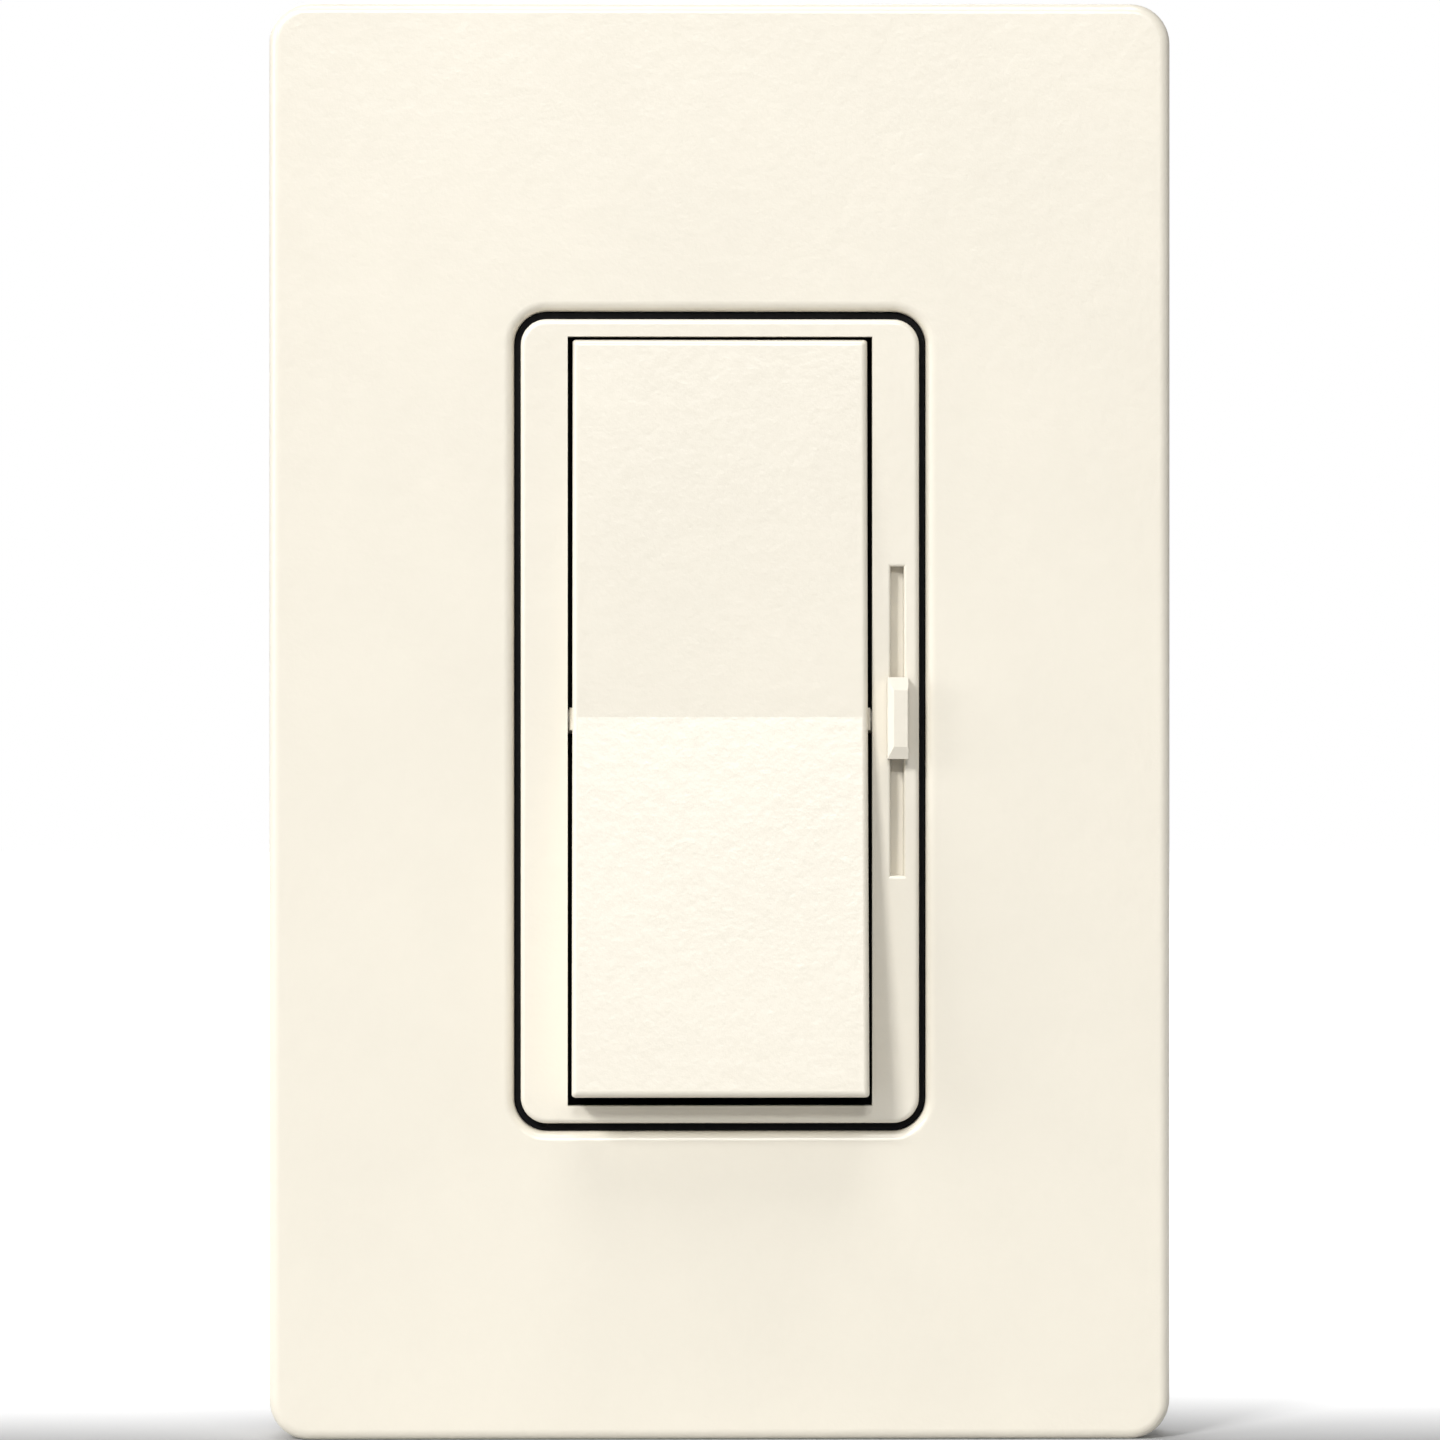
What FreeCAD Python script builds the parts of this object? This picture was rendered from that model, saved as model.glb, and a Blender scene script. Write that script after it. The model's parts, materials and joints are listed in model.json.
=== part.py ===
"""Slide dimmer: a rocker paddle beside a small level slider, behind a screwless wallplate.

Millimetres, +Z up, the front looks along -Y. The origin is midway between the two device screws,
on the wall plane (Y = 0). Each *_y value is a place along Y, and each pair of places runs from
front to back.
"""
import FreeCAD, Part
import math
import os

# ---------------------------------------------------------------- driving dimensions
# standards that the device has to meet
device_screw_spacing = 83.34       # box ears, 3 9/32 in
plate_screw_spacing = 96.8         # tapped holes of the yoke
thread_radius = 1.753              # 6-32 screw
lead_pitch = 2.54                  # legs of the power switch

# wallplate cover
plate_width = 74.7
plate_height = 119.1
plate_depth = 7.6                  # wall plane to the cover's face
plate_corner_radius = 3.3
plate_edge_radius = 0.9
plate_wall = 1.6
window_edge_radius = 0.8
hook_length = 10.0
hook_place = 38.0                  # height of the cover's snap hooks above and below the centre
hook_bite = 0.8                    # how far a hook reaches behind the adapter
hook_lift = 0.35                   # hook's back face in front of the wall plane
pry_notch_width = 8.0
pry_notch_depth = 1.2

# paddle
paddle_width = 24.4
paddle_half_height = 31.3
paddle_wall = 1.3
paddle_edge_radius = 0.5
paddle_corner_radius = 0.25
paddle_bend = 2.0                  # degrees that each facet leans out from the fold
paddle_tilt = 4.4                  # degrees either side of the middle
paddle_centre_proud = 1.4          # fold in front of the bezel's face, paddle level
paddle_pivot_depth = 4.4           # pivot axis behind the fold
paddle_skirt_below_pivot = 0.2
pivot_pin_radius = 1.0
pivot_pin_length = 1.4
pivot_pad_height = 1.85
pivot_pad_proud = 0.25
pivot_pad_recess = 1.9             # pad's front end behind the fold
rib_thickness = 0.9
rib_pitch = 9.8
rib_set_back = 0.6                 # ribs' back edge in front of the skirt's
hub_rib_offset = 1.5               # long rib's middle outside the hub
hub_radius = 3.0

# bezel
bezel_proud = 0.3                  # bezel's face in front of the cover's face
bezel_front_wall = 1.2
bezel_side_wall = 0.9
bezel_corner_radius = 2.15
bezel_inner_radius = 0.5
bezel_edge_radius = 0.45
bezel_side_margin = 3.885          # strip of bezel beside the paddle's opening
bezel_end_margin = 1.45
paddle_side_gap = 0.415
paddle_end_gap = 0.55
ring_side_gap = 0.575              # black reveal between bezel and cover
ring_end_gap = 0.7
window_corner_radius = 2.75
cradle_thickness = 0.85
cradle_half_height = 2.2
cradle_set_out = 0.3               # cradle's inner face outside the opening's edge
cradle_below_pivot = 1.7
leg_height = 4.0
leg_length = 1.1                   # behind the wall plane
leg_barb = 0.6
leg_barb_depth = 0.8

# level slider
slot_width = 1.09
slot_mouth_radius = 0.25
slot_inset = 1.82                  # slot's centre line from the bezel's right edge
knob_width = 1.71
knob_height = 6.75
knob_proud = 1.7
knob_base = 1.2                    # straight part below the bevels
knob_side_bevel = 0.5              # on the side towards the paddle only
knob_top_bevel = 1.05
knob_bottom_bevel = 1.0
knob_edge_radius = 0.12
knob_rest = 0.26                   # knob's centre above the slot's centre, as it is left
strip_thickness = 0.5
strip_width = 1.55
strip_overlap = 0.35               # strip left beyond the slot at the end of its travel
strip_end_room = 0.4
stem_height_inset = 1.4            # stem shorter than the knob
arm_width = 1.1
arm_height = 5.2

# yoke and adapter
yoke_thickness = 1.5
yoke_fin = 4.2                     # break-off fin beyond the housing's side
yoke_strap_width = 33.0
yoke_end_margin = 4.95             # strap beyond the plate-screw hole
yoke_corner_radius = 4.0
yoke_body_margin = 0.8             # heat-sink part beyond the housing's ends
yoke_body_radius = 1.5
arm_window_side = 0.75             # yoke's window beyond the slider's arm
arm_window_end = 0.6
score_width = 0.8
score_depth = 0.7
ear_slot_length = 7.0
ear_slot_radius = 2.1
ground_tab_depth = 9.5
ground_tab_height = 8.5
ground_screw_y = 5.0
ground_head_radius = 3.3
ground_head_height = 2.0
ground_screw_length = 5.5
device_head_radius = 3.2
device_head_height = 2.0
device_screw_length = 19.0         # behind the wall plane
device_neck_relief = 0.2           # plain neck thinner than the thread
adapter_screw_head_radius = 2.9
adapter_screw_head_height = 1.3
adapter_thickness = 2.0
adapter_margin = 1.75              # between the adapter and the cover's wall
adapter_rim = 1.2
adapter_rim_height = 1.8
adapter_rim_radius = 0.5
head_room = 0.25                   # around and behind a screw head in its opening
collar_wall = 1.4
lip_recess = 1.0                   # black lip below the cover's face
barrier_thickness = 0.3
barrier_margin = 0.2               # inside the bezel's walls

# screws
screw_slot_width = 0.9
screw_slot_depth = 0.9
screw_cross_depth = 1.1
screw_cross_span = 1.1             # cross recess over the head's radius
screw_tip = 0.5

# housing
housing_depth = 27.5
housing_wall = 1.6
housing_corner_radius = 2.0
post_radius = 2.6
post_inset = 2.2                   # post's centre inside the housing's inner faces
housing_back_radius = 1.0
housing_screw_radius = 1.2
housing_screw_head_radius = 2.1
housing_screw_head_height = 1.4
housing_screw_sunk = 1.8
housing_screw_set_back = 0.3       # screw's end behind the yoke's front face
label_width = 17.0
label_height = 42.0
label_depth = 0.3
label_radius = 1.0

# switch mechanism, behind the yoke
rocker_pivot_y = 5.2
rocker_tilt = 6.0
rocker_bend = 3.0
rocker_plate = 0.8
rocker_plate_front = 0.9           # plate's front face ahead of its pivot
rocker_half_width = 4.5
rocker_half_height = 8.6
rocker_pin_radius = 0.6
contact_place = 6.8
contact_radius = 1.5
contact_thickness = 1.0
fixed_contact_thickness = 0.5
strip_metal = 0.6
contact_strip_width = 4.4
contact_strip_start = 5.2          # strip's inner end from the pivot
contact_leg_width = 1.2
common_plate_width = 6.0
common_plate_height = 3.6
common_bar_thickness = 1.2
shelf_reach = 2.2                  # carrier's shelf behind the fixed contacts
carrier_half_width = 8.2
carrier_half_height = 11.2
carrier_wall = 1.3
window_half = 5.0                  # yoke's window around the paddle's hub
plunger_radius = 1.5
plunger_tip_radius = 0.9
plunger_shoulder = 2.2             # plain tip beyond the guided part
plunger_guided = 4.5
spring_wire_radius = 0.16
spring_turns = 6
spring_seat = 0.05                 # spring's ends from the faces that it rests on

# slide potentiometer
pot_half_width = 3.6
pot_wall = 0.6
pot_front_y = 0.5
pot_block_front_y = 3.4
pot_block_depth = 1.6
pot_block_half_width = 2.3
pot_block_half_height = 4.0
wiper_leaf = 0.2
wiper_reach = 0.9
pot_side_room = 0.92               # between the potentiometer and the housing's wall
pot_end_room = 0.6                 # left at the end of the slider's travel
pot_leg_place = 6.0
pot_leg_width = 1.2
pot_leg_thickness = 0.8
track_offset = 1.3
track_width = 1.0
track_end = 1.0                    # track beyond the wiper's travel
track_thickness = 0.1
track_board_thickness = 1.0
wiper_width = 3.6
wiper_height = 6.4
finger_width = 0.7
finger_half_height = 3.0
finger_tip_half = 0.4

# circuit board
board_y = 9.4
board_thickness = 1.6
board_margin = 0.3                 # inside the housing's walls and around its posts
board_hole = 1.2                   # side of a lead's hole
leg_hole_room = 0.2                # around a contact's leg in its hole
lead_length = 1.2                  # contact legs past the board's back
solder_stub = 0.1                  # component leads past the board's front

# side terminals
terminal_height = 14.0             # above or below the centre
recess_depth = 6.8
recess_wall = 1.2
recess_half_height = 5.2
terminal_screw_y = 17.2
terminal_plate_half = 4.2
terminal_metal = 1.2
clamp_half = 4.0
clamp_thickness = 1.1
wire_gap = 0.9
terminal_head_radius = 3.3
terminal_head_height = 2.0
bracket_stand_off = 0.8            # bracket outside the recess's floor
bracket_clearance = 0.5            # plate behind the recess's front wall
bracket_tail_height = 2.4
bracket_tail_front = 0.4           # tail ahead of the board

# named clearances
running = 0.06                     # a pin in the hole that it turns in
screw_clearance = 0.05
snug = 0.08                        # a fixed piece in its opening
slide_gap = 0.15                   # faces that slide past each other
contact_gap = 0.12                 # parts that press together in use
assembly_gap = 0.1

# ---------------------------------------------------------------- derived places and sizes
# front of the device
cover_face_y = -plate_depth
bezel_face_y = cover_face_y - bezel_proud
bezel_inner_y = bezel_face_y + bezel_front_wall
yoke_front_y = -yoke_thickness
adapter_front_y = yoke_front_y - adapter_thickness
fold_y = bezel_face_y - paddle_centre_proud
pivot_y = fold_y + paddle_pivot_depth

# widths and heights that nest inside each other
opening_width = paddle_width + 2 * paddle_side_gap
opening_height = 2 * (paddle_half_height + paddle_end_gap)
bezel_width = opening_width + 2 * bezel_side_margin
bezel_height = opening_height + 2 * bezel_end_margin
bezel_inner_width = bezel_width - 2 * bezel_side_wall
bezel_inner_height = bezel_height - 2 * bezel_side_wall
window_width = bezel_width + 2 * ring_side_gap
window_height = bezel_height + 2 * ring_end_gap
adapter_width = plate_width - 2 * (plate_wall + adapter_margin)
adapter_height = plate_height - 2 * (plate_wall + adapter_margin)

# slider: the slot is as long as the dust strip behind it can still cover at both ends
slot_x = bezel_width / 2 - slot_inset
slot_half = (bezel_inner_height / 2 - strip_end_room - strip_overlap + knob_height) / 3
slider_travel = slot_half - knob_height / 2
strip_half = slot_half + slider_travel + strip_overlap
strip_front_y = bezel_inner_y + slide_gap
strip_back_y = strip_front_y + strip_thickness

# potentiometer
pot_block_back_y = pot_block_front_y + pot_block_depth
track_front_y = pot_block_back_y + wiper_reach + slide_gap
track_board_y = track_front_y + track_thickness
pot_back_y = track_board_y + track_board_thickness
pot_half_height = slider_travel + knob_rest + pot_block_half_height + pot_end_room + pot_wall

# housing
housing_half_width = slot_x + pot_half_width + pot_side_room + housing_wall
housing_half_height = bezel_height / 2
housing_inner_x = housing_half_width - housing_wall
housing_inner_z = housing_half_height - housing_wall
post_x = housing_inner_x - post_inset
post_z = housing_inner_z - post_inset
board_back_y = board_y + board_thickness
recess_front_y = board_back_y + assembly_gap
recess_floor_x = housing_half_width - recess_depth

# yoke
yoke_half_width = housing_half_width + yoke_fin
yoke_half_height = plate_screw_spacing / 2 + yoke_end_margin
leg_top = post_z - post_radius - 0.8

# screw places
ground_x = -yoke_strap_width / 2
device_screw_z = device_screw_spacing / 2
plate_screw_z = plate_screw_spacing / 2

# the triac lies between the switch mechanism and the housing's left wall
triac_x = -(housing_inner_x + carrier_half_width) / 2

# switch mechanism
plunger_tip = rocker_pivot_y - rocker_plate_front - contact_gap - pivot_y
plunger_back = plunger_tip - plunger_shoulder - plunger_guided
hub_end = plunger_tip - plunger_shoulder - 0.9
hub_floor = paddle_wall - paddle_pivot_depth + 0.5


# ---------------------------------------------------------------- shape helpers
def vec(x, y, z):
    return FreeCAD.Vector(x, y, z)


def box(x0, x1, y0, y1, z0, z1):
    return Part.makeBox(x1 - x0, y1 - y0, z1 - z0, vec(x0, y0, z0))


def centred_box(width, height, front, back, x=0.0, z=0.0):
    return box(x - width / 2, x + width / 2, front, back, z - height / 2, z + height / 2)


def side_box(side, inner, outer, front, back, low, high):
    """A box on the left (side -1) or right (side 1), from inner to outer away from the middle."""
    reach = sorted((side * inner, side * outer))
    return box(reach[0], reach[1], front, back, low, high)


def rod_y(radius, front, back, x=0.0, z=0.0):
    return Part.makeCylinder(radius, back - front, vec(x, front, z), vec(0, 1, 0))


def rod_x(radius, x0, x1, y, z):
    return Part.makeCylinder(radius, x1 - x0, vec(x0, y, z), vec(1, 0, 0))


def rod_z(radius, z0, z1, x, y):
    return Part.makeCylinder(radius, z1 - z0, vec(x, y, z0), vec(0, 0, 1))


def cone_y(front_radius, back_radius, front, back, x=0.0, z=0.0):
    return Part.makeCone(front_radius, back_radius, back - front, vec(x, front, z), vec(0, 1, 0))


def edges_along_y(shape):
    """Edges that run from front to back."""
    found = []
    for edge in shape.Edges:
        size = edge.BoundBox
        if size.YLength > 1e-6 and size.XLength < 1e-6 and size.ZLength < 1e-6:
            found.append(edge)
    return found


def edges_in_plane(shape, y, half_width=1e3, half_height=1e3, x=0.0):
    """Edges that lie in the plane at y, within the two half sizes of (x, 0)."""
    found = []
    for edge in shape.Edges:
        size = edge.BoundBox
        flat = abs(size.YMin - y) < 1e-4 and abs(size.YMax - y) < 1e-4
        inside = max(abs(size.XMin - x), abs(size.XMax - x)) < half_width + 1e-3
        inside = inside and max(abs(size.ZMin), abs(size.ZMax)) < half_height + 1e-3
        if flat and inside:
            found.append(edge)
    return found


def rounded_slab(width, height, radius, front, back, x=0.0, z=0.0):
    """A slab with rounded corners whose flat faces look along Y."""
    slab = centred_box(width, height, front, back, x, z)
    return slab.makeFillet(radius, edges_along_y(slab))


def softened_slab(width, height, radius, front, back, edge_radius):
    """A rounded slab whose front edge is rounded over as well."""
    slab = rounded_slab(width, height, radius, front, back)
    return slab.makeFillet(edge_radius, edges_in_plane(slab, front))


def side_profile(points, x0, x1):
    """A prism along X from (y, z) points."""
    corners = [vec(x0, y, z) for y, z in points]
    outline = Part.makePolygon(corners + [corners[0]])
    return Part.Face(outline).extrude(vec(x1 - x0, 0, 0))


def joined(shapes):
    """One solid from shapes that overlap or touch."""
    return shapes[0].fuse(shapes[1:]).removeSplitter()


def turned(shape, y, z, degrees):
    """A copy turned about the line along X through (y, z)."""
    copy = shape.copy()
    copy.rotate(vec(0, y, z), vec(1, 0, 0), degrees)
    return copy


def placed(shape, x, y, z, turn=0.0):
    """A copy turned about Z and then moved."""
    copy = shape.copy()
    copy.rotate(vec(0, 0, 0), vec(0, 0, 1), turn)
    copy.translate(vec(x, y, z))
    return copy


def drive_recess(radius, front):
    """Combination slot and cross cut into a screw head's face at y = front."""
    span = screw_cross_span * radius
    slot = centred_box(2 * radius + 1, screw_slot_width, front - 1, front + screw_slot_depth)
    upright = centred_box(screw_slot_width, span, front - 1, front + screw_cross_depth)
    level = centred_box(span, screw_slot_width, front - 1, front + screw_cross_depth)
    return slot.fuse([upright, level])


def pan_screw(head_radius, head_height, shank_radius, length, neck=0.0, neck_radius=0.0):
    """Pan-head screw: head in front of y = 0, shank behind it, with an optional plain neck."""
    head = rod_y(head_radius, -head_height, 0)
    head = head.makeFillet(0.55 * head_height, edges_in_plane(head, -head_height))
    head = head.cut(drive_recess(head_radius, -head_height))
    tip = min(screw_tip, shank_radius / 2)
    pieces = [head, rod_y(shank_radius, neck, length - tip)]
    pieces.append(cone_y(shank_radius, shank_radius - tip, length - tip, length))
    if neck > 0:
        pieces.append(rod_y(neck_radius, 0, neck))
    return joined(pieces)


def flat_screw(head_radius, head_height, shank_radius, length):
    """Countersunk screw with its face at y = 0."""
    head = cone_y(head_radius, shank_radius, 0, head_height)
    head = head.cut(drive_recess(0.7 * head_radius, 0))
    tip = min(screw_tip, shank_radius / 2)
    shank = rod_y(shank_radius, head_height, length - tip)
    point = cone_y(shank_radius, shank_radius - tip, length - tip, length)
    return joined([head, shank, point])


# ---------------------------------------------------------------- wallplate
def wallplate_cover():
    body = softened_slab(plate_width, plate_height, plate_corner_radius,
                         cover_face_y, 0, plate_edge_radius)
    inner_width = plate_width - 2 * plate_wall
    inner_height = plate_height - 2 * plate_wall
    inner_radius = plate_corner_radius - plate_wall
    body = body.cut(rounded_slab(inner_width, inner_height, inner_radius,
                                 cover_face_y + plate_wall, 1))
    body = body.cut(rounded_slab(window_width, window_height, window_corner_radius,
                                 cover_face_y - 1, 1))
    mouth = edges_in_plane(body, cover_face_y, window_width / 2, window_height / 2)
    body = body.makeFillet(window_edge_radius, mouth)
    hooks = []
    hook_inner = adapter_width / 2 - hook_bite
    for side in (-1, 1):
        for end in (-1, 1):
            z = end * hook_place
            hooks.append(side_box(side, hook_inner, inner_width / 2 + plate_wall / 2,
                                  yoke_front_y + slide_gap, -hook_lift,
                                  z - hook_length / 2, z + hook_length / 2))
    body = joined([body] + hooks)
    notch = box(-pry_notch_width / 2, pry_notch_width / 2, -pry_notch_depth, 1,
                -plate_height / 2 - 1, -inner_height / 2 + 1)
    return body.cut(notch)


def wallplate_adapter():
    corner = plate_corner_radius - plate_wall
    body = rounded_slab(adapter_width, adapter_height, corner, adapter_front_y, yoke_front_y)
    rim_y = adapter_front_y - adapter_rim_height
    rim = rounded_slab(adapter_width, adapter_height, corner, rim_y, adapter_front_y)
    rim = rim.cut(rounded_slab(adapter_width - 2 * adapter_rim, adapter_height - 2 * adapter_rim,
                               adapter_rim_radius, rim_y - 1, adapter_front_y + 1))
    inner_width = bezel_width + 2 * snug
    inner_height = bezel_height + 2 * snug
    collar_y = cover_face_y + plate_wall + assembly_gap
    collar = rounded_slab(inner_width + 2 * collar_wall, inner_height + 2 * collar_wall,
                          bezel_corner_radius + snug + collar_wall, collar_y, adapter_front_y)
    lip = rounded_slab(window_width - 2 * snug, window_height - 2 * snug,
                       window_corner_radius - snug, cover_face_y + lip_recess, collar_y)
    body = joined([body, rim, collar, lip])
    body = body.cut(rounded_slab(inner_width, inner_height, bezel_corner_radius + snug,
                                 cover_face_y - 1, 1))
    for end in (-1, 1):
        z = end * device_screw_z
        body = body.cut(rod_y(device_head_radius + head_room, adapter_front_y - 1, 1, 0, z))
        z = end * plate_screw_z
        body = body.cut(rod_y(thread_radius + 2 * screw_clearance, adapter_front_y - 1, 1, 0, z))
        body = body.cut(cone_y(adapter_screw_head_radius + screw_clearance,
                               thread_radius + screw_clearance, adapter_front_y,
                               adapter_front_y + adapter_screw_head_height + screw_clearance,
                               0, z))
    return body


def adapter_screws():
    length = -adapter_front_y - assembly_gap
    screw = flat_screw(adapter_screw_head_radius, adapter_screw_head_height, thread_radius, length)
    return Part.makeCompound([placed(screw, 0, adapter_front_y, end * plate_screw_z)
                              for end in (-1, 1)])


# ---------------------------------------------------------------- yoke and its screws
leg_slot_clearance = 0.15


def leg_boxes(grow=0.0, barbed=0.0, front=-1.0, back=1.0):
    """The bezel's four legs, or with grow the holes that they pass through."""
    boxes = []
    for side in (-1, 1):
        for end in (-1, 1):
            z = end * (leg_top - leg_height / 2)
            boxes.append(side_box(side, bezel_inner_width / 2 - grow,
                                  bezel_width / 2 + grow + barbed, front, back,
                                  z - leg_height / 2 - grow, z + leg_height / 2 + grow))
    return boxes


def yoke_windows(front, back):
    """Openings for the paddle's hub and the slider's arm."""
    arm_room = slider_travel + arm_height / 2 + arm_window_end
    hub = centred_box(2 * window_half, 2 * window_half, front, back)
    arm = centred_box(arm_width + 2 * arm_window_side, 2 * arm_room, front, back, slot_x)
    return [hub, arm]


def mounting_yoke():
    strap = rounded_slab(yoke_strap_width, 2 * yoke_half_height, yoke_corner_radius, yoke_front_y, 0)
    body_height = 2 * (housing_half_height + yoke_body_margin)
    sink = rounded_slab(2 * yoke_half_width, body_height, yoke_body_radius, yoke_front_y, 0)
    tab = box(ground_x, ground_x + yoke_thickness, yoke_front_y, ground_tab_depth,
              -device_screw_z - ground_tab_height / 2, -device_screw_z + ground_tab_height / 2)
    body = joined([strap, sink, tab])
    cutters = yoke_windows(yoke_front_y - 1, 1)
    cutters += leg_boxes(leg_slot_clearance, 0, yoke_front_y - 1, 1)
    for side in (-1, 1):
        x = side * (housing_half_width + score_width)
        cutters.append(centred_box(score_width, body_height + 2, yoke_front_y - 1,
                                   yoke_front_y + score_depth, x))
    for end in (-1, 1):
        cutters.append(rounded_slab(ear_slot_length, 2 * ear_slot_radius, ear_slot_radius - 0.01,
                                    yoke_front_y - 1, 1, 0, end * device_screw_z))
        cutters.append(rod_y(thread_radius + screw_clearance, yoke_front_y - 1, 1,
                             0, end * plate_screw_z))
    for x, z in post_places():
        cutters.append(rod_y(housing_screw_radius + screw_clearance, yoke_front_y - 1, 1, x, z))
    cutters.append(rod_y(triac_screw_radius + screw_clearance, yoke_front_y - 1, 1,
                         triac_x, triac_screw_z))
    cutters.append(rod_x(thread_radius + screw_clearance, ground_x - 1,
                         ground_x + yoke_thickness + 1, ground_screw_y, -device_screw_z))
    return body.cut(cutters)


def mounting_screws():
    screw = pan_screw(device_head_radius, device_head_height, thread_radius,
                      yoke_thickness + device_screw_length, yoke_thickness,
                      thread_radius - device_neck_relief)
    return Part.makeCompound([placed(screw, 0, yoke_front_y, end * device_screw_z)
                              for end in (-1, 1)])


def ground_screw():
    screw = pan_screw(ground_head_radius, ground_head_height, thread_radius, ground_screw_length)
    return placed(screw, ground_x, ground_screw_y, -device_screw_z, -90)


def insulating_barrier():
    sheet = rounded_slab(bezel_inner_width - 2 * barrier_margin,
                         bezel_inner_height - 2 * barrier_margin, bezel_inner_radius,
                         yoke_front_y - barrier_thickness, yoke_front_y)
    sheet = sheet.cut(yoke_windows(yoke_front_y - 1, 1))
    return sheet.cut(leg_boxes(leg_slot_clearance, 0, yoke_front_y - 1, 1))


# ---------------------------------------------------------------- bezel
def bezel():
    body = softened_slab(bezel_width, bezel_height, bezel_corner_radius,
                         bezel_face_y, yoke_front_y, bezel_edge_radius)
    body = body.cut(rounded_slab(bezel_inner_width, bezel_inner_height,
                                 bezel_inner_radius, bezel_inner_y, 1))
    body = body.cut(centred_box(opening_width, opening_height, bezel_face_y - 1, bezel_inner_y + 1))
    body = body.cut(centred_box(slot_width, 2 * slot_half, bezel_face_y - 1, bezel_inner_y + 1,
                                slot_x))
    mouth = edges_in_plane(body, bezel_face_y, slot_width / 2, slot_half, slot_x)
    body = body.makeFillet(slot_mouth_radius, mouth)
    pieces = [body]
    for side in (-1, 1):
        inner = opening_width / 2 + cradle_set_out
        cradle = side_box(side, inner, inner + cradle_thickness,
                          bezel_inner_y - bezel_front_wall / 2, pivot_y + cradle_below_pivot,
                          -cradle_half_height, cradle_half_height)
        pieces.append(cradle.cut(rod_x(pivot_pin_radius + running, -bezel_width, bezel_width,
                                       pivot_y, 0)))
    pieces += leg_boxes(0, 0, yoke_front_y - 1, leg_length)
    pieces += leg_boxes(0, leg_barb, assembly_gap, assembly_gap + leg_barb_depth)
    return joined(pieces)


# ---------------------------------------------------------------- paddle, plunger and spring
def facet_lean():
    return paddle_half_height * math.tan(math.radians(paddle_bend))


def paddle_block(inset_front, inset_end, x_half, back):
    """The paddle's block with a front that is folded along its middle, about the pivot axis."""
    front = inset_front - paddle_pivot_depth
    end = paddle_half_height - inset_end
    lean = facet_lean() * end / paddle_half_height
    outline = [(front, 0), (front - lean, end), (back, end), (back, -end), (front - lean, -end)]
    return side_profile(outline, -x_half, x_half)


def paddle_front_edges(shape):
    """Edges around the paddle's face, without the fold."""
    found = []
    half = paddle_width / 2
    for edge in shape.Edges:
        size = edge.BoundBox
        ahead = size.YMax < -paddle_pivot_depth + 0.01
        on_side = size.XLength < 1e-4 and abs(abs(size.XMin) - half) < 1e-4
        on_end = size.ZLength < 1e-4 and abs(abs(size.ZMin) - paddle_half_height) < 1e-4
        if ahead and (on_side or on_end):
            found.append(edge)
    return found


def paddle_ribs():
    """Two long ribs beside the hub, and a ladder of cross ribs either side of the pivot."""
    half = paddle_width / 2
    ribs = []
    front = -2 * paddle_pivot_depth
    back = paddle_skirt_below_pivot - rib_set_back
    for side in (-1, 1):
        x = side * (hub_radius + hub_rib_offset)
        ribs.append(box(x - rib_thickness / 2, x + rib_thickness / 2, front, back,
                        -paddle_half_height, paddle_half_height))
    rows = int((paddle_half_height - paddle_wall) / rib_pitch)
    for row in range(-rows, rows + 1):
        if row != 0:
            z = row * rib_pitch
            ribs.append(box(-half, half, front, back,
                            z - rib_thickness / 2, z + rib_thickness / 2))
    middle_of_wall = paddle_block(paddle_wall / 2, paddle_wall / 2, half - paddle_wall / 2,
                                  paddle_skirt_below_pivot)
    return [rib.common(middle_of_wall) for rib in ribs]


def paddle():
    half = paddle_width / 2
    skirt = paddle_skirt_below_pivot
    body = paddle_block(0, 0, half, skirt)
    body = body.makeFillet(paddle_corner_radius, edges_along_y(body))
    body = body.makeFillet(paddle_edge_radius, paddle_front_edges(body))
    cavity = paddle_block(paddle_wall, paddle_wall, half - paddle_wall, skirt + 1)
    shell = body.cut(cavity)
    hub = rod_y(hub_radius, paddle_wall / 2 - paddle_pivot_depth, hub_end)
    pins = []
    for side in (-1, 1):
        reach = sorted((side * (half - paddle_wall / 2), side * (half + pivot_pin_length)))
        pins.append(rod_x(pivot_pin_radius, reach[0], reach[1], 0, 0))
        pad_front = pivot_pad_recess - paddle_pivot_depth
        edge = side * (half + pivot_pad_proud)
        root = side * (half - paddle_wall / 2)
        slope = [vec(root, pad_front - pivot_pad_proud, 0), vec(edge, pad_front, 0),
                 vec(edge, 0, 0), vec(root, 0, 0)]
        pad = Part.Face(Part.makePolygon(slope + [slope[0]])).extrude(vec(0, 0, pivot_pad_height))
        pad.translate(vec(0, 0, -pivot_pad_height / 2))
        pins.append(pad)
    whole = joined([shell] + paddle_ribs() + [hub] + pins)
    bore = rod_y(plunger_radius + running, hub_floor, hub_end + 1)
    return at_rest(whole.cut(bore))


def at_rest(shape):
    """From the paddle's own frame, about its pivot, to where it rests with the top pressed in."""
    moved = shape.copy()
    moved.translate(vec(0, pivot_y, 0))
    return turned(moved, pivot_y, 0, -paddle_tilt)


def plunger():
    guided = rod_y(plunger_radius, plunger_back, plunger_back + plunger_guided)
    tip_back = plunger_tip - plunger_tip_radius
    tip = rod_y(plunger_tip_radius, plunger_back + plunger_guided - 0.5, tip_back)
    ball = Part.makeSphere(plunger_tip_radius, vec(0, tip_back, 0))
    return at_rest(joined([guided, tip, ball]))


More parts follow.
